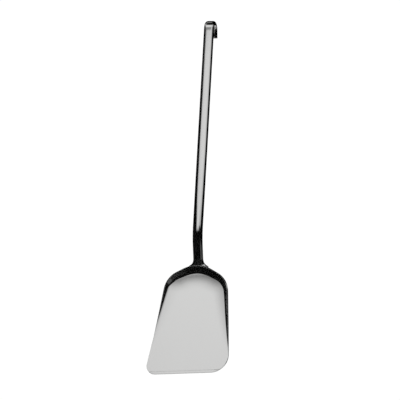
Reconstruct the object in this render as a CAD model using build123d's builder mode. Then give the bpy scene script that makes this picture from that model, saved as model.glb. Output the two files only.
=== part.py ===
from build123d import *
from math import asin, atan2, cos, hypot, radians, sin, tan
import os

# A stainless steel serving spatula, in millimetres. +Z is up, +Y runs from the blade's front
# edge to the hook, and the origin is the centre of the blade's flat underside.

# Blade: one steel sheet with its sides and rear edges turned up
sheet = 1.5
blade_length = 111.5
front_half_width = 42.7
front_slant = 4.6  # degrees that the front edge turns back toward the right
side_angle = 6.0  # degrees that each side turns toward the middle
rear_angle = 28.1  # degrees that each rear edge falls away from the middle
left_corner_radius = 9.0
right_corner_radius = 17.8
shoulder_radius = 22.9
apex_radius = 31.7
front_bevel_length = 2.6
front_bevel_drop = 0.35

# Rim: the turned-up edge, which rises from nothing near the front, at first slowly
rim_height = 8.6
rim_start = 23.3  # behind the front edge
rim_curve_share = 0.79  # of the rim's rise that grows with the square of the distance
wall_angle = 47.0  # degrees that the turned-up wall leans outward
bend_radius = 5.2  # on the inside of the bend at the wall's foot
foot_shares = (0.65, 0.35, 0.1)  # places along the rim where the wall's foot turns a little
run_out_angle = 12.0  # degrees that the foot turns outward in front of the last place
foot_radius = 100.0  # of each of these turns

# Handle: one bar with a neck at the blade and a hook at the far end
bar_width = 10.6
bar_thickness = 5.0
neck_width = 10.3
neck_thickness = 6.4
neck_angle = 34.7  # degrees above the blade
handle_angle = 13.8
joint_height = 4.6  # of the neck's middle line at the rim's rearmost point
neck_length = 31.2  # from there to the corner between neck and handle
neck_bend_radius = 60.0
neck_overlap = 2.5  # how far the neck runs on under the wall, to which it is shaped
taper_start = 12.0  # behind that corner
taper_end = 95.0
handle_length = 216.9  # from that corner to the hook
hook_radius = 7.0  # of the bar's middle
hook_turn = 165.0  # degrees
tail_length = 8.6
tail_edge_radius = 0.6

# Weld: the fillet of steel that joins the neck to the rear wall
weld_reach = 7.0  # up the neck from the rim
weld_spread = 5.5  # along the wall past each side of the neck
weld_skin = 0.3  # how far the weld stands over the neck
weld_corner_share = 0.4  # corner radius of each weld section, of its height
# Each weld section: place behind the rim in reaches, spread in spreads, and its top and the
# least height of its foot in rim heights
weld_section_shares = (
    (-0.9, 0.5, 0.85, 0.06),
    (-0.4, 1.0, 0.93, 0.08),
    (0.0, 0.4, 0.93, 0.1),
    (0.5, 0.1, 0.97, 0.1),
    (1.0, 0.0, 1.05, 0.1),
)

overrun = 4.0  # how far every cut runs past the steel

side = radians(side_angle)
rear = radians(rear_angle)
wall = radians(wall_angle)
front_y = -blade_length / 2
front_turn = front_half_width * tan(radians(front_slant))  # of each front corner
apex_y = blade_length / 2
rim_start_y = front_y + rim_start
apex_corner_y = apex_y + apex_radius * (1 / cos(rear) - 1)
tray_height = rim_height + overrun


def along(point, angle, distance):
    """The point at a distance from another one, at an angle in degrees, in one plane."""
    return (
        point[0] + distance * cos(radians(angle)),
        point[1] + distance * sin(radians(angle)),
    )


def half_width(y):
    """Half of the blade's width at a place along it."""
    return front_half_width - (y - front_y) * tan(side)


def rise(y):
    """Height of the rim above the sheet's upper face at a place along the blade."""
    share = (y - rim_start_y) / (apex_y - rim_start_y)
    return (rim_height - sheet) * share * (1 + rim_curve_share * (share - 1))


def inset(y):
    """Distance in plan from the rim to the inner foot of the wall."""
    return rise(y) * tan(wall)


# Where each side line and rear line of the rim would cross
shoulder_x = (front_half_width - (apex_corner_y - front_y) * tan(side)) / (1 - tan(rear) * tan(side))
shoulder_y = apex_corner_y - shoulder_x * tan(rear)


def outline():
    """Corners and corner radii of the blade in plan, from the right front corner."""
    corners = [
        (half_width(front_y + front_turn), front_y + front_turn),
        (shoulder_x, shoulder_y),
        (0, apex_corner_y),
        (-shoulder_x, shoulder_y),
        (-half_width(front_y - front_turn), front_y - front_turn),
    ]
    radii = [right_corner_radius, shoulder_radius, apex_radius, shoulder_radius, left_corner_radius]
    return corners, radii


def foot_outline(outset):
    """Corners and radii of the wall's foot in plan, moved outward by a distance."""
    shift = inset(shoulder_y) - outset
    turn = (radians(90) - side - rear) / 2
    foot_x = shoulder_x - shift * cos(side + turn) / cos(turn)
    foot_y = shoulder_y - shift * sin(side + turn) / cos(turn)
    right = [(foot_x, foot_y)]
    for share in foot_shares:
        y = rim_start_y + share * (apex_y - rim_start_y)
        right.insert(0, (half_width(y) - (inset(y) - outset) / cos(side), y))
    run_out_y = front_y - front_turn - overrun
    run_out_x = right[0][0] + (right[0][1] - run_out_y) * tan(side + radians(run_out_angle))
    right.insert(0, (run_out_x, run_out_y))
    left = [(-x, y) for x, y in reversed(right)]
    apex = apex_radius - inset(apex_y) + outset
    # The rear line leaves the shoulder along the tangent to the arc around the apex
    centre_y = apex_y - inset(apex_y) + outset - apex
    tilt = atan2(centre_y - foot_y, foot_x) + asin(apex / hypot(foot_x, centre_y - foot_y))
    foot_apex_y = centre_y + apex / cos(tilt)
    side_radii = [0] + [foot_radius - outset] * len(foot_shares) + [shoulder_radius - shift]
    return right + [(0, foot_apex_y)] + left, side_radii + [apex] + side_radii[::-1]


def wall_and_rear_edges(part):
    """The lower edges of a tray, without the one that runs across in front of the blade."""
    return part.faces().sort_by(Axis.Z)[0].edges().sort_by(Axis.Y)[1:]


# The plane square to the front edge at its middle, with its own x axis into the blade
slant = radians(front_slant)
front_plane = Plane(
    origin=(0, front_y, 0),
    x_dir=(-sin(slant), cos(slant), 0),
    z_dir=(cos(slant), sin(slant), 0),
)

# The space inside the blade's walls
with BuildPart() as inner_tray:
    with BuildSketch(Plane.XY.offset(sheet)):
        with BuildLine():
            corners, radii = foot_outline(0)
            FilletPolyline(*corners, radius=radii, close=True)
        make_face()
    extrude(amount=tray_height, taper=-wall_angle)
    fillet(wall_and_rear_edges(inner_tray.part), radius=bend_radius)

# The space inside the walls and the walls themselves
with BuildPart() as outer_tray:
    with BuildSketch():
        with BuildLine():
            corners, radii = foot_outline(sheet * tan((radians(90) - wall) / 2))
            FilletPolyline(*corners, radius=radii, close=True)
        make_face()
    extrude(amount=tray_height, taper=-wall_angle)
    fillet(wall_and_rear_edges(outer_tray.part), radius=bend_radius + sheet)

with BuildPart() as blade:
    with BuildSketch():
        with BuildLine():
            corners, radii = outline()
            FilletPolyline(*corners, radius=radii, close=True)
        make_face()
    extrude(amount=tray_height)
    add(outer_tray.part, mode=Mode.INTERSECT)
    add(inner_tray.part, mode=Mode.SUBTRACT)
    # The upper front edge is ground thin
    with BuildSketch(front_plane):
        with BuildLine():
            Polyline(
                (front_bevel_length, sheet),
                (-overrun, sheet - front_bevel_drop * (1 + overrun / front_bevel_length)),
                (-overrun, sheet + overrun),
                (front_bevel_length, sheet + overrun),
                close=True,
            )
        make_face()
    extrude(amount=front_half_width + overrun, both=True, mode=Mode.SUBTRACT)
blade.part.label = "blade"

# The handle's middle line runs in the YZ plane
joint = (apex_y, joint_height)
neck_start = along(joint, neck_angle, -neck_overlap)
neck_corner = along(joint, neck_angle, neck_length)
taper_first = along(neck_corner, handle_angle, taper_start)
taper_last = along(neck_corner, handle_angle, taper_end)
hook_start = along(neck_corner, handle_angle, handle_length)
hook_centre = along(hook_start, handle_angle - 90, hook_radius)
hook_end_angle = handle_angle + 90 - hook_turn
hook_end = along(hook_centre, hook_end_angle, hook_radius)
tail_end = along(hook_end, hook_end_angle - 90, tail_length)


def across(point, angle):
    """The plane square to the bar's middle line at a point."""
    return Plane(
        origin=(0, point[0], point[1]),
        x_dir=(1, 0, 0),
        z_dir=(0, cos(radians(angle)), sin(radians(angle))),
    )


with BuildPart() as handle:
    with BuildLine(Plane.YZ):
        FilletPolyline(neck_start, neck_corner, taper_first, radius=neck_bend_radius)
    with BuildSketch(across(neck_start, neck_angle)):
        SlotOverall(neck_width, neck_thickness)
    sweep()
    with BuildSketch(across(taper_first, handle_angle)):
        SlotOverall(neck_width, neck_thickness)
    with BuildSketch(across(taper_last, handle_angle)):
        SlotOverall(bar_width, bar_thickness)
    loft(ruled=True)
    with BuildLine(Plane.YZ):
        Line(taper_last, hook_start)
        CenterArc(hook_centre, hook_radius, handle_angle + 90, -hook_turn)
        Line(hook_end, tail_end)
    with BuildSketch(across(taper_last, handle_angle)):
        SlotOverall(bar_width, bar_thickness)
    sweep()
    fillet(handle.faces().sort_by_distance((0, tail_end[0], tail_end[1]))[0].edges(), tail_edge_radius)
    # The neck's end is shaped to the lower face of the rear wall
    add(outer_tray.part, mode=Mode.SUBTRACT)
handle.part.label = "handle"


def neck_underside(y):
    """Height of the neck's lower line at a place along the spatula."""
    middle = joint_height + (y - joint[0]) * tan(radians(neck_angle))
    return middle - neck_thickness / 2 / cos(radians(neck_angle))


with BuildPart() as weld:
    for behind, spread, top, foot in weld_section_shares:
        section_y = apex_y + weld_reach * behind
        width = neck_width + 2 * (weld_skin + weld_spread * spread)
        low = max(rim_height * foot, neck_underside(section_y) - weld_skin)
        high = rim_height * top
        with BuildSketch(Plane.XZ.offset(-section_y)):
            with Locations((0, (low + high) / 2)):
                RectangleRounded(width, high - low, weld_corner_share * (high - low))
    loft()
    add(outer_tray.part, mode=Mode.SUBTRACT)
    add(handle.part, mode=Mode.SUBTRACT)
weld.part.label = "weld"

os.makedirs("parts", exist_ok=True)
export_step(blade.part, "parts/blade.step")
export_step(handle.part, "parts/handle.step")
export_step(weld.part, "parts/weld.step")
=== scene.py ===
"""A stainless steel serving spatula on a plain white floor, lit by one large soft light."""
from math import acos, cos, hypot, pi, radians, sin, sqrt, tan

import bpy
from mathutils import Matrix, Vector


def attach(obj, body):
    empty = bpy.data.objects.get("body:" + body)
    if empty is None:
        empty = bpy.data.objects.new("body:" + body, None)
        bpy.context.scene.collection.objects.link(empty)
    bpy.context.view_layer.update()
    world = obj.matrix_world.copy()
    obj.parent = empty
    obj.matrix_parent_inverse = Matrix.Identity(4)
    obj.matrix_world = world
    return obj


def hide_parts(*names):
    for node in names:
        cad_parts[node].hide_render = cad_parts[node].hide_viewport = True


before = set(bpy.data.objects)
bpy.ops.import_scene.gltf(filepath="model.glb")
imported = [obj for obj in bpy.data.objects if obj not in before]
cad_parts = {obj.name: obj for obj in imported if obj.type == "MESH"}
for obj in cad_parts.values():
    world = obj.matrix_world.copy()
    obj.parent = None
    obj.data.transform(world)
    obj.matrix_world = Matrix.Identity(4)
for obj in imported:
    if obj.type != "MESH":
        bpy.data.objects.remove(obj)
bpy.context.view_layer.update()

MM = 0.001

# The blade, in millimetres, with the names that the solid's source gives these sizes
SHEET = 1.5
BLADE_LENGTH = 111.5
FRONT_HALF_WIDTH = 42.7
FRONT_SLANT = radians(4.6)
SIDE = radians(6.0)
REAR = radians(28.1)
LEFT_CORNER_RADIUS = 9.0
RIGHT_CORNER_RADIUS = 17.8
SHOULDER_RADIUS = 22.9
APEX_RADIUS = 31.7
FRONT_BEVEL_LENGTH = 2.6
FRONT_BEVEL_DROP = 0.35
RIM_HEIGHT = 8.6
RIM_START = 23.3
RIM_CURVE_SHARE = 0.79
BEND_RADIUS = 5.2

# Only in the dressed blade: the wall ends square to its face, so it stands a little steeper,
# the floor curves up before the bend, and all edges are rounded
WALL_TURN = radians(47.3)
DISH_RADIUS = 108.0
DISH_RISE = 2.9
DISH_SHARE = 0.3  # of the rim's height, where the rim is low
CREASE_RADIUS = 0.3  # at the wall's foot, where the sheet turns up at once
CREASE_SHARE = 2.3  # of the floor's own turn, to which the crease turns the sheet
RIM_KNEE = 3.0  # length over which the rim begins to rise
EDGE_RADIUS = 0.12

# The blade's mesh: its stations around the outline and its rings down the section
STATION_SPACING = 3.0
CORNER_STEPS = 24
EDGE_STEPS = 4
HOLDING_SHARES = (0.1, 0.9)  # of the edge's flat, where points keep its shading flat
WALL_STEPS = 8
BEND_STEPS = 12
CREASE_STEPS = 2
DISH_STEPS = 12
LEAST_WALL = 1.2  # what the rings of each part keep where a low rim has too little of it
LEAST_BEND = 2.0
LEAST_CREASE = 0.02
LEAST_DISH = 3.0
CREASE_HOLD = 0.1  # from the crease to the ring that keeps its shading short
FLOOR_MARGIN = 0.8  # from the dish to the last ring on the flat floor

# The handle
BAR_WIDTH = 10.6
BAR_THICKNESS = 5.0
NECK_WIDTH = 10.3
NECK_THICKNESS = 6.4
NECK_ANGLE = radians(34.7)
HANDLE_ANGLE = radians(13.8)
JOINT_HEIGHT = 4.6
NECK_LENGTH = 31.2
NECK_BEND_RADIUS = 60.0
NECK_OVERLAP = 2.5
TAPER_START = 12.0
TAPER_END = 95.0
HANDLE_LENGTH = 216.9
HOOK_RADIUS = 7.0
HOOK_TURN = radians(165.0)
TAIL_LENGTH = 8.6
TAIL_EDGE_RADIUS = 0.6
NECK_CROWN = 0.3  # share of its thickness by which the bar's face falls toward its sides
BAR_CROWN = 0.05
CROWN_REACH = 50.0  # from the neck's corner to where the bar is flat

# The handle's mesh: its stations along the middle line and its steps around the section
NECK_STATIONS = 24
NECK_BEND_STATIONS = 16
BAR_STATIONS = 60
HOOK_STATIONS = 36
TAIL_STATIONS = 4
TAIL_EDGE_STATIONS = 6
HANDLE_ARC_STEPS = 16
HANDLE_FLAT_STEPS = 6

# The weld
WELD_REACH = 8.0
WELD_SPREAD = 5.0
WELD_SKIN = 0.2
WELD_BEAD = 0.5  # height of the weld over the neck at the wall
WELD_TOP_SHARE = 0.45  # of the weld's spread that is left at its top
WELD_FADE_SHARE = 0.25  # of the reach, over which the skin ends at the neck
WELD_SINK = 0.05  # how far the skin's end lies inside the neck
WELD_ARC_STEPS = 20
WELD_FLAT_STEPS = 8
WELD_LEVELS = 32
UNDER_FACE = 0.1  # how far neck and weld end below the rear wall's inner face
GROUND_GAP = 0.2  # between the neck's and the weld's underside and the floor, at least

FRONT_Y = -BLADE_LENGTH / 2
APEX_Y = BLADE_LENGTH / 2
RIM_START_Y = FRONT_Y + RIM_START
FULL_RISE = RIM_HEIGHT - SHEET


def make_piece(name, vertices, faces, material, node):
    """A smooth mesh in metres from points in millimetres, which stands for a CAD node."""
    mesh = bpy.data.meshes.new(name)
    mesh.from_pydata([Vector(v) * MM for v in vertices], [], faces)
    mesh.validate()
    mesh.materials.append(material)
    mesh.shade_smooth()
    piece = bpy.data.objects.new(name, mesh)
    bpy.context.scene.collection.objects.link(piece)
    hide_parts(node)
    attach(piece, "root")
    return piece


def bridge(first, second, count):
    """Quads between two closed rings of the same number of points."""
    return [
        (first + i, first + (i + 1) % count, second + (i + 1) % count, second + i)
        for i in range(count)
    ]


def tube_faces(rings, count):
    """The faces of a closed tube of rings, with both its ends."""
    faces = [f for ring in range(rings - 1) for f in bridge(ring * count, (ring + 1) * count, count)]
    faces.append(tuple(reversed(range(count))))
    faces.append(tuple(range((rings - 1) * count, rings * count)))
    return faces


# Blade


def rim_rise(y):
    """Height of the rim above the sheet's upper face, with a soft beginning."""
    length = APEX_Y - RIM_START_Y
    ahead = y - RIM_START_Y
    share = (ahead + sqrt(ahead**2 + RIM_KNEE**2)) / (length + sqrt(length**2 + RIM_KNEE**2))
    return FULL_RISE * share * (1 + RIM_CURVE_SHARE * (share - 1))


def plan_corners():
    """Corners of the blade in plan with their radii, from the right front corner."""
    apex_corner_y = APEX_Y + APEX_RADIUS * (1 / cos(REAR) - 1)
    narrowing = tan(SIDE)
    turned = FRONT_HALF_WIDTH * tan(FRONT_SLANT)
    shoulder_x = FRONT_HALF_WIDTH - (apex_corner_y - FRONT_Y) * narrowing
    shoulder_x /= 1 - tan(REAR) * narrowing
    shoulder_y = apex_corner_y - shoulder_x * tan(REAR)
    return [
        (FRONT_HALF_WIDTH - turned * narrowing, FRONT_Y + turned, RIGHT_CORNER_RADIUS),
        (shoulder_x, shoulder_y, SHOULDER_RADIUS),
        (0, apex_corner_y, APEX_RADIUS),
        (-shoulder_x, shoulder_y, SHOULDER_RADIUS),
        (-FRONT_HALF_WIDTH - turned * narrowing, FRONT_Y - turned, LEFT_CORNER_RADIUS),
    ]


def plan_stations(spacing, arc_steps):
    """Points and outward directions around the blade's outline, evenly spaced on each run."""
    corners = plan_corners()
    count = len(corners)
    arcs = []
    for i, (x, y, radius) in enumerate(corners):
        here = Vector((x, y))
        before = (here - Vector(corners[i - 1][:2])).normalized()
        after = (Vector(corners[(i + 1) % count][:2]) - here).normalized()
        turn = before.angle(after)
        first = here - before * radius * tan(turn / 2)
        normal = Vector((before.y, -before.x))
        arcs.append((first, normal, first - normal * radius, radius, turn))
    stations = []
    for i, (first, normal, centre, radius, turn) in enumerate(arcs):
        for step in range(arc_steps):
            direction = normal.copy()
            direction.rotate(Matrix.Rotation(turn * step / arc_steps, 2))
            stations.append((centre + direction * radius, direction))
        direction = normal.copy()
        direction.rotate(Matrix.Rotation(turn, 2))
        last = centre + direction * radius
        run = arcs[(i + 1) % count][0] - last
        steps = max(2, round(run.length / spacing))
        stations += [(last + run * step / steps, direction) for step in range(steps)]
    return stations


def wall_profile(rise):
    """Lengths and angles of the sheet's section from the floor to the rim, for a rim this high."""
    dish_rise = DISH_RISE * (1 - 1 / (1 + rise * DISH_SHARE / DISH_RISE))
    dish_turn = acos(1 - dish_rise / DISH_RADIUS)
    crease_turn = dish_turn * CREASE_SHARE
    foot_rise = dish_rise + CREASE_RADIUS * (cos(dish_turn) - cos(crease_turn))
    top = (foot_rise + BEND_RADIUS * cos(crease_turn) - rise + EDGE_RADIUS) / (BEND_RADIUS + EDGE_RADIUS)
    turn = max(crease_turn, acos(max(cos(WALL_TURN), min(1.0, top))))
    curved = foot_rise + BEND_RADIUS * (cos(crease_turn) - cos(turn))
    straight = max(0.0, rise - EDGE_RADIUS * (1 - cos(turn)) - curved) / sin(WALL_TURN)
    return dish_turn, crease_turn, turn, straight


def section_point(profile, rise, distance, depth):
    """Place outward from the outline and height of a point of the sheet's section.

    The distance runs down the upper face from the rim, and the depth goes into the sheet.
    """
    dish_turn, crease_turn, turn, straight = profile
    end_x = -EDGE_RADIUS - (SHEET - 2 * EDGE_RADIUS) * sin(turn) - EDGE_RADIUS * sin(turn)
    end_z = SHEET + rise - EDGE_RADIUS * (1 - cos(turn))
    down = min(distance, straight)
    x = end_x - down * cos(turn)
    z = end_z - down * sin(turn)
    left = distance - down
    angle = turn
    for radius, last in ((BEND_RADIUS, crease_turn), (CREASE_RADIUS, dish_turn), (DISH_RADIUS, 0.0)):
        part = min(left, radius * (angle - last))
        swept = angle - part / radius
        x -= radius * (sin(angle) - sin(swept))
        z -= radius * (cos(swept) - cos(angle))
        left -= part
        angle = swept
    x -= left
    return x + depth * sin(angle), z - depth * cos(angle)


def rounded_edge(profile, rise, steps):
    """The sheet's edge, from its upper face over both rounded corners to its lower face."""
    turn = profile[2]
    middle_x = -EDGE_RADIUS - (SHEET - 2 * EDGE_RADIUS) * sin(turn)
    middle_z = SHEET + rise - EDGE_RADIUS
    flat = SHEET - 2 * EDGE_RADIUS
    # Each point's turn along the rounded corners and its place across the flat between them
    places = [(i / steps, 0.0) for i in range(steps + 1)]
    places += [(1.0, share) for share in HOLDING_SHARES]
    places += [(1.0 + i / steps, 1.0) for i in range(steps + 1)]
    points = []
    for turned, across in places:
        angle = turn + pi / 2 * (1 - turned)
        points.append((
            middle_x + EDGE_RADIUS * cos(angle) + across * flat * sin(turn),
            middle_z + EDGE_RADIUS * sin(angle) - across * flat * cos(turn),
        ))
    return points


def sample_distances(profile):
    """Distances down the section for the rings, spread out where a part of it is missing."""
    dish_turn, crease_turn, turn, straight = profile
    bend_end = straight + BEND_RADIUS * (turn - crease_turn)
    crease_end = bend_end + CREASE_RADIUS * (crease_turn - dish_turn)
    ends = (
        (straight, LEAST_WALL, WALL_STEPS),
        (bend_end, LEAST_BEND, BEND_STEPS),
        (crease_end, LEAST_CREASE, CREASE_STEPS),
        (crease_end + CREASE_HOLD, CREASE_HOLD, 1),
        (crease_end + DISH_RADIUS * dish_turn, LEAST_DISH, DISH_STEPS),
    )
    distances = [0.0]
    for end, least, steps in ends:
        start = distances[-1]
        length = max(end, start + least) - start
        distances += [start + length * (i + 1) / steps for i in range(steps)]
    distances.append(distances[-1] + FLOOR_MARGIN)
    return distances


def make_blade(material):
    """The pressed sheet: rings from the middle of its upper face over the rim to its underside."""
    stations = plan_stations(STATION_SPACING, CORNER_STEPS)
    count = len(stations)
    columns = []
    for place, outward in stations:
        rise = rim_rise(place.y)
        profile = wall_profile(rise)
        distances = sample_distances(profile)
        upper = [section_point(profile, rise, d, 0.0) for d in reversed(distances[1:])]
        edge = rounded_edge(profile, rise, EDGE_STEPS)
        lower = [section_point(profile, rise, d, SHEET) for d in distances[1:]]
        column = []
        for index, (x, z) in enumerate(upper + edge + lower):
            point = place + outward * x
            if index < len(upper) + len(edge) // 2:
                z -= front_bevel(point)
            column.append((point.x, point.y, z))
        columns.append(column)
    rings = len(columns[0])
    vertices = [columns[i][ring] for ring in range(rings) for i in range(count)]
    # The stations run around the blade the other way than points run around a bar
    faces = [tuple(reversed(f)) for f in tube_faces(rings, count)]
    return make_piece("blade_sheet", vertices, faces, material, "blade")


def front_bevel(point):
    """How far the upper face is ground down near the front edge."""
    behind = (point.y - FRONT_Y) * cos(FRONT_SLANT) - point.x * sin(FRONT_SLANT)
    return FRONT_BEVEL_DROP * max(0.0, 1 - max(0.0, behind) / FRONT_BEVEL_LENGTH)


# Handle


def along(point, angle, distance):
    """The point at a distance from another one, at an angle, in the plane of Y and Z."""
    return point[0] + distance * cos(angle), point[1] + distance * sin(angle)


def slot_ring(centre, angle, width, thickness, crown, arc_steps, flat_steps):
    """Points around a bar's section, square to its middle line: two half rounds and two faces.

    The faces are crowned: at the bar's sides they would be lower by a share of the thickness.
    """
    radius = thickness / 2
    flat = width / 2 - radius
    offsets = []
    for side in (1, -1):
        for i in range(arc_steps):
            turn = -pi / 2 + pi * i / arc_steps
            offsets.append((side * (flat + radius * cos(turn)), side * radius * sin(turn)))
        for i in range(flat_steps):
            offsets.append((side * flat * (1 - 2 * i / flat_steps), side * radius))
    y, z = centre
    points = []
    for x, n in offsets:
        n *= 1 - crown * (2 * x / width) ** 2
        points.append((x, y - n * sin(angle), z + n * cos(angle)))
    return points


def under_wall(x, y, z):
    """A point's height, lowered into the rear wall where it would stand out of its inner face."""
    ahead = y - (APEX_Y - APEX_RADIUS)
    out = hypot(x, ahead)
    if abs(x) > out * sin(REAR):
        out = ahead * cos(REAR) + abs(x) * sin(REAR)
    inward = APEX_RADIUS - out
    if inward > 0:
        inner_face = SHEET + rim_rise(y + inward) + (SHEET * sin(WALL_TURN) - inward) * tan(WALL_TURN)
        z = min(z, inner_face - UNDER_FACE)
    return max(z, GROUND_GAP)


JOINT = (APEX_Y, JOINT_HEIGHT)
NECK_CORNER = along(JOINT, NECK_ANGLE, NECK_LENGTH)
HOOK_START = along(NECK_CORNER, HANDLE_ANGLE, HANDLE_LENGTH)
HOOK_CENTRE = along(HOOK_START, HANDLE_ANGLE - pi / 2, HOOK_RADIUS)


def crown_at(point):
    """Crown of the bar's faces: the neck's, then less and less where the bar becomes flat."""
    share = min(1.0, max(0.0, (point[0] - NECK_CORNER[0]) / CROWN_REACH))
    return NECK_CROWN + (BAR_CROWN - NECK_CROWN) * (1 - (1 - share) ** 2)


def bar_stations():
    """Middle points, angles, widths and thicknesses of the bar from the blade to the hook's end."""
    tangent = NECK_BEND_RADIUS * tan((NECK_ANGLE - HANDLE_ANGLE) / 2)
    bend_start = along(JOINT, NECK_ANGLE, NECK_LENGTH - tangent)
    stations = []
    for i in range(NECK_STATIONS):
        distance = -NECK_OVERLAP + (NECK_LENGTH - tangent + NECK_OVERLAP) * i / NECK_STATIONS
        stations.append((along(JOINT, NECK_ANGLE, distance), NECK_ANGLE, NECK_WIDTH, NECK_THICKNESS))
    centre = along(bend_start, NECK_ANGLE - pi / 2, NECK_BEND_RADIUS)
    for i in range(NECK_BEND_STATIONS):
        angle = NECK_ANGLE + (HANDLE_ANGLE - NECK_ANGLE) * i / NECK_BEND_STATIONS
        point = along(centre, angle + pi / 2, NECK_BEND_RADIUS)
        stations.append((point, angle, NECK_WIDTH, NECK_THICKNESS))
    for i in range(BAR_STATIONS):
        distance = tangent + (HANDLE_LENGTH - tangent) * i / BAR_STATIONS
        share = min(1.0, max(0.0, (distance - TAPER_START) / (TAPER_END - TAPER_START)))
        width = NECK_WIDTH + (BAR_WIDTH - NECK_WIDTH) * share
        thickness = NECK_THICKNESS + (BAR_THICKNESS - NECK_THICKNESS) * share
        stations.append((along(NECK_CORNER, HANDLE_ANGLE, distance), HANDLE_ANGLE, width, thickness))
    for i in range(HOOK_STATIONS + 1):
        angle = HANDLE_ANGLE - HOOK_TURN * i / HOOK_STATIONS
        point = along(HOOK_CENTRE, angle + pi / 2, HOOK_RADIUS)
        stations.append((point, angle, BAR_WIDTH, BAR_THICKNESS))
    last = HANDLE_ANGLE - HOOK_TURN
    end = stations[-1][0]
    for i in range(1, TAIL_STATIONS + 1):
        distance = (TAIL_LENGTH - TAIL_EDGE_RADIUS) * i / TAIL_STATIONS
        stations.append((along(end, last, distance), last, BAR_WIDTH, BAR_THICKNESS))
    for i in range(1, TAIL_EDGE_STATIONS + 1):
        turn = pi / 2 * i / TAIL_EDGE_STATIONS
        inward = 2 * TAIL_EDGE_RADIUS * (1 - cos(turn))
        distance = TAIL_LENGTH - TAIL_EDGE_RADIUS * (1 - sin(turn))
        stations.append((along(end, last, distance), last, BAR_WIDTH - inward, BAR_THICKNESS - inward))
    # One more ring on the end face keeps its shading flat
    inward = 3 * TAIL_EDGE_RADIUS
    stations.append((along(end, last, TAIL_LENGTH), last, BAR_WIDTH - inward, BAR_THICKNESS - inward))
    return stations


def make_handle(material):
    """The bar, swept from inside the rear wall to the end of the hook."""
    steps = (HANDLE_ARC_STEPS, HANDLE_FLAT_STEPS)
    count = 2 * sum(steps)
    vertices = []
    stations = bar_stations()
    for centre, angle, width, thickness in stations:
        for x, y, z in slot_ring(centre, angle, width, thickness, crown_at(centre), *steps):
            vertices.append((x, y, under_wall(x, y, z)))
    faces = tube_faces(len(stations), count)
    return make_piece("handle_bar", vertices, faces, material, "handle")


def make_weld(material):
    """The fillet between the neck and the rear wall: a hollow flare of the neck's own section."""
    steps = (WELD_ARC_STEPS, WELD_FLAT_STEPS)
    count = 2 * sum(steps)
    first = -2 * NECK_OVERLAP
    vertices = []
    for level in range(WELD_LEVELS + 1):
        distance = first + (WELD_REACH - first) * level / WELD_LEVELS
        left = min(1.0, 1 - distance / WELD_REACH)
        spread = WELD_SPREAD * left**3
        skin = WELD_SKIN * min(1.0, left / WELD_FADE_SHARE) - WELD_SINK
        centre = along(JOINT, NECK_ANGLE, distance)
        width = NECK_WIDTH + 2 * (spread + skin)
        thickness = NECK_THICKNESS + 2 * (skin + WELD_BEAD * left * (1 + left) / 2)
        for x, y, z in slot_ring(centre, NECK_ANGLE, width, thickness, NECK_CROWN, *steps):
            height = max(0.0, (z - centre[1]) * 2 / thickness)
            x *= 1 - 2 * spread / width * (1 - WELD_TOP_SHARE) * height
            vertices.append((x, y, under_wall(x, y, z)))
    faces = tube_faces(WELD_LEVELS + 1, count)
    return make_piece("weld_fillet", vertices, faces, material, "weld")


# Materials

STEEL_GREY = (0.65, 0.65, 0.645)
WELD_GREY = (0.63, 0.63, 0.625)
LINE_HEIGHT = 0.02  # of the polish's fine lines, in millimetres
GLOSS_SHARES = (0.85, 1.2)  # least and most roughness, of the given one
CLOUD_SCALE = 28.0  # uneven spots in the gloss per metre
NOISE_SUMS = (0.7, 1.3)  # that the lines' and the spots' noise mostly stay between


def add_node(tree, kind, **values):
    """A node with the values of its properties and of its input sockets."""
    node = tree.nodes.new(kind)
    for name, value in values.items():
        if hasattr(node, name):
            setattr(node, name, value)
        else:
            node.inputs[name.replace("_", " ")].default_value = value
    return node


def steel(name, colour, roughness, stretch, bump):
    """Polished stainless steel with fine lines along the spatula and slight changes in gloss."""
    material = bpy.data.materials.new(name)
    material.use_nodes = True
    tree = material.node_tree
    shader = tree.nodes["Principled BSDF"]
    shader.inputs["Metallic"].default_value = 1.0
    shader.inputs["Base Color"].default_value = (*colour, 1.0)
    place = add_node(tree, "ShaderNodeTexCoord")
    mapping = add_node(tree, "ShaderNodeMapping")
    mapping.inputs["Scale"].default_value = stretch
    lines = add_node(tree, "ShaderNodeTexNoise", Scale=1.0, Detail=4.0, Roughness=0.6)
    cloud = add_node(tree, "ShaderNodeTexNoise", Scale=CLOUD_SCALE, Detail=3.0, Roughness=0.5)
    mix = add_node(tree, "ShaderNodeMath", operation="ADD")
    gloss = add_node(tree, "ShaderNodeMapRange")
    gloss.inputs["From Min"].default_value = NOISE_SUMS[0]
    gloss.inputs["From Max"].default_value = NOISE_SUMS[1]
    gloss.inputs["To Min"].default_value = roughness * GLOSS_SHARES[0]
    gloss.inputs["To Max"].default_value = roughness * GLOSS_SHARES[1]
    relief = add_node(tree, "ShaderNodeBump", Strength=bump, Distance=LINE_HEIGHT * MM)
    link = tree.links.new
    link(place.outputs["Object"], mapping.inputs["Vector"])
    link(mapping.outputs["Vector"], lines.inputs["Vector"])
    link(place.outputs["Object"], cloud.inputs["Vector"])
    link(lines.outputs["Fac"], mix.inputs[0])
    link(cloud.outputs["Fac"], mix.inputs[1])
    link(mix.outputs["Value"], gloss.inputs["Value"])
    link(gloss.outputs["Result"], shader.inputs["Roughness"])
    link(lines.outputs["Fac"], relief.inputs["Height"])
    link(relief.outputs["Normal"], shader.inputs["Normal"])
    return material


# Studio

FLOOR_REACH = 6.0  # metres to each side
FLOOR_DROP = 0.1  # below the blade, in millimetres
FLOOR_GREY = (0.05, 0.05, 0.05)
FLOOR_GLOW = 0.98
DARK = 0.001  # what the steel mirrors between the lights


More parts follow.
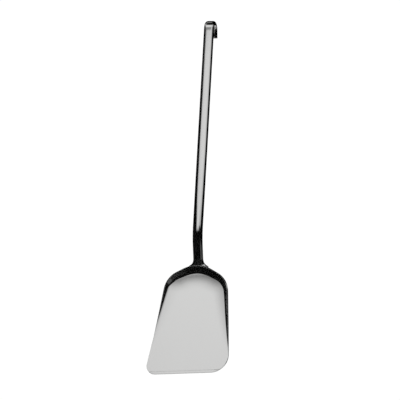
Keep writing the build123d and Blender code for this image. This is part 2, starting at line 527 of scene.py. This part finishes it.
def make_floor():
    """A plain white lit floor, which polished steel doesn't mirror."""
    mesh = bpy.data.meshes.new("floor")
    corners = [(FLOOR_REACH * x, FLOOR_REACH * y, 0) for x, y in ((-1, -1), (1, -1), (1, 1), (-1, 1))]
    mesh.from_pydata(corners, [], [(0, 1, 2, 3)])
    floor = bpy.data.objects.new("floor", mesh)
    floor.location.z = -FLOOR_DROP * MM
    bpy.context.scene.collection.objects.link(floor)
    material = bpy.data.materials.new("white_floor")
    material.use_nodes = True
    shader = material.node_tree.nodes["Principled BSDF"]
    shader.inputs["Base Color"].default_value = (*FLOOR_GREY, 1.0)
    shader.inputs["Emission Color"].default_value = (1.0, 1.0, 1.0, 1.0)
    shader.inputs["Emission Strength"].default_value = FLOOR_GLOW
    shader.inputs["Roughness"].default_value = 1.0
    shader.inputs["Specular IOR Level"].default_value = 0.0
    mesh.materials.append(material)
    floor.visible_glossy = False


def combine(tree, operation, first, second):
    """Two values combined; the second may be a plain number."""
    node = add_node(tree, "ShaderNodeMath", operation=operation)
    tree.links.new(first, node.inputs[0])
    if isinstance(second, float):
        node.inputs[1].default_value = second
    else:
        tree.links.new(second, node.inputs[1])
    return node.outputs["Value"]


def look_up(tree, value, stops):
    """A value from -1 to 1 looked up in a list of places and brightnesses."""
    ramp = add_node(tree, "ShaderNodeValToRGB")
    ramp.color_ramp.interpolation = "LINEAR"
    elements = ramp.color_ramp.elements
    while len(elements) < len(stops):
        elements.new(0.5)
    for element, (place, brightness) in zip(elements, stops):
        element.position = (place + 1) / 2
        element.color = (brightness, brightness, brightness, 1.0)
    shifted = add_node(tree, "ShaderNodeMapRange")
    shifted.inputs["From Min"].default_value = -1.0
    tree.links.new(value, shifted.inputs["Value"])
    tree.links.new(shifted.outputs["Result"], ramp.inputs["Fac"])
    return ramp.outputs["Color"]


def panel(tree, axes, ranges, softness, strength):
    """A light that fills a range of directions on each axis and fades out at its edges."""
    light = None
    for value, (low, high) in zip(axes, ranges):
        stops = [(low - softness, 0.0), (low, 1.0), (high, 1.0), (high + softness, 0.0)]
        side = look_up(tree, value, stops)
        light = side if light is None else combine(tree, "MULTIPLY", light, side)
    return combine(tree, "MULTIPLY", light, strength)


# The large light above, as places and brightnesses along X and along Y of the directions that
# it fills: over the blade, over the handle's face, over the handle's right side and over the
# blade's left side
SOFTBOX = (
    (
        ((-0.54, 0.0), (-0.49, 0.55), (-0.40, 0.78), (-0.32, 0.94), (-0.27, 1.0), (0.0, 0.95), (0.3, 0.0)),
        (
            (0.0, 0.0),
            (0.04, 0.22),
            (0.09, 0.33),
            (0.15, 0.62),
            (0.20, 0.84),
            (0.27, 0.95),
            (0.37, 1.02),
            (0.58, 1.0),
            (0.66, 0.0),
        ),
    ),
    (
        ((-0.33, 0.0), (-0.30, 0.85), (-0.26, 1.0), (-0.10, 1.0), (0.25, 0.0)),
        ((-0.30, 0.0), (-0.25, 0.5), (-0.18, 0.75), (-0.10, 0.92), (0.04, 1.0), (0.055, 0.0)),
    ),
    (
        ((-0.05, 0.0), (0.05, 0.92), (0.35, 0.78), (0.68, 0.5), (0.74, 0.0)),
        ((-0.16, 0.0), (-0.08, 1.0), (0.60, 1.0), (0.72, 0.0)),
    ),
    (
        ((-0.05, 0.0), (0.05, 0.92), (0.35, 0.80), (0.84, 0.55), (0.89, 0.0)),
        ((0.28, 0.0), (0.34, 1.0), (0.60, 1.0), (0.72, 0.0)),
    ),
)

SOFTBOX_FOOT = ((0.08, 0.0), (0.25, 1.0))  # along Z, where it begins above the horizon


def softbox(tree, x, y, z):
    """The large light above, cut off near the horizon."""
    light = None
    for across, ahead in SOFTBOX:
        part = combine(tree, "MULTIPLY", look_up(tree, x, across), look_up(tree, y, ahead))
        light = part if light is None else combine(tree, "MAXIMUM", light, part)
    return combine(tree, "MULTIPLY", light, look_up(tree, z, SOFTBOX_FOOT))


# Smaller lights, as ranges of direction along X, Y and Z, with softness and strength
PANELS = (
    (((-0.32, -0.18), (0.90, 1.0), (-0.08, 0.22)), 0.06, 0.26),
    (((0.74, 0.92), (-0.62, -0.36), (0.05, 0.40)), 0.06, 0.10),
    (((-0.76, -0.62), (0.30, 0.45), (0.50, 0.72)), 0.06, 0.30),
    (((-0.85, -0.42), (0.56, 0.80), (0.25, 0.60)), 0.10, 0.80),
    (((0.35, 0.85), (-0.90, -0.60), (0.05, 0.26)), 0.06, 0.80),
    (((-0.95, 0.95), (-0.95, -0.20), (-1.0, -0.30)), 0.15, 0.60),
)


def make_studio():
    """White surroundings, in which the steel mirrors a large soft light and some small ones."""
    world = bpy.data.worlds.new("studio")
    bpy.context.scene.world = world
    world.use_nodes = True
    tree = world.node_tree
    background = tree.nodes["Background"]
    background.inputs["Color"].default_value = (1.0, 1.0, 1.0, 1.0)
    direction = add_node(tree, "ShaderNodeTexCoord")
    split = add_node(tree, "ShaderNodeSeparateXYZ")
    tree.links.new(direction.outputs["Generated"], split.inputs["Vector"])
    axes = [split.outputs[name] for name in "XYZ"]
    light = combine(tree, "ADD", softbox(tree, *axes), DARK)
    for ranges, softness, strength in PANELS:
        light = combine(tree, "MAXIMUM", light, panel(tree, axes, ranges, softness, strength))
    path = add_node(tree, "ShaderNodeLightPath")
    pick = add_node(tree, "ShaderNodeMix", data_type="FLOAT")
    pick.inputs[2].default_value = 1.0
    tree.links.new(path.outputs["Is Glossy Ray"], pick.inputs[0])
    tree.links.new(light, pick.inputs[3])
    tree.links.new(pick.outputs[0], background.inputs["Strength"])


# The photograph's camera, fitted to the outlines of the blade and the handle, in millimetres
# where nothing else is said
CAMERA_PLACE = (387.40, -444.04, 1364.58)
CAMERA_BACK = (0.25827, -0.37500, 0.89032)  # opposite to where it looks
CAMERA_UP = (-0.01448, 0.91998, 0.39169)
FOCAL_LENGTH = 1476.4  # in pixels
PICTURE_WIDTH = 400  # in pixels
SENSOR_WIDTH = 36.0  # millimetres
FAR_END = 20.0  # metres


def make_camera():
    """The camera, at the photograph's place, turn and focal length."""
    toward = Vector(CAMERA_BACK).normalized()
    up = Vector(CAMERA_UP)
    right = up.cross(toward).normalized()
    up = toward.cross(right)
    data = bpy.data.cameras.new("camera")
    data.sensor_width = SENSOR_WIDTH
    data.lens = SENSOR_WIDTH * FOCAL_LENGTH / PICTURE_WIDTH
    data.clip_end = FAR_END
    camera = bpy.data.objects.new("camera", data)
    turn = Matrix((right, up, toward)).transposed().to_4x4()
    camera.matrix_world = Matrix.Translation(Vector(CAMERA_PLACE) * MM) @ turn
    bpy.context.scene.collection.objects.link(camera)
    bpy.context.scene.camera = camera


# Each steel's roughness, its polishing lines per metre along X, Y and Z, and their strength
make_blade(steel("blade_polish", STEEL_GREY, 0.10, (900.0, 30.0, 900.0), 0.1))
make_handle(steel("handle_polish", STEEL_GREY, 0.09, (1200.0, 40.0, 1200.0), 0.08))
make_weld(steel("weld_polish", WELD_GREY, 0.14, (700.0, 700.0, 700.0), 0.15))
make_floor()
make_studio()
make_camera()
bpy.context.scene.view_settings.view_transform = "Standard"
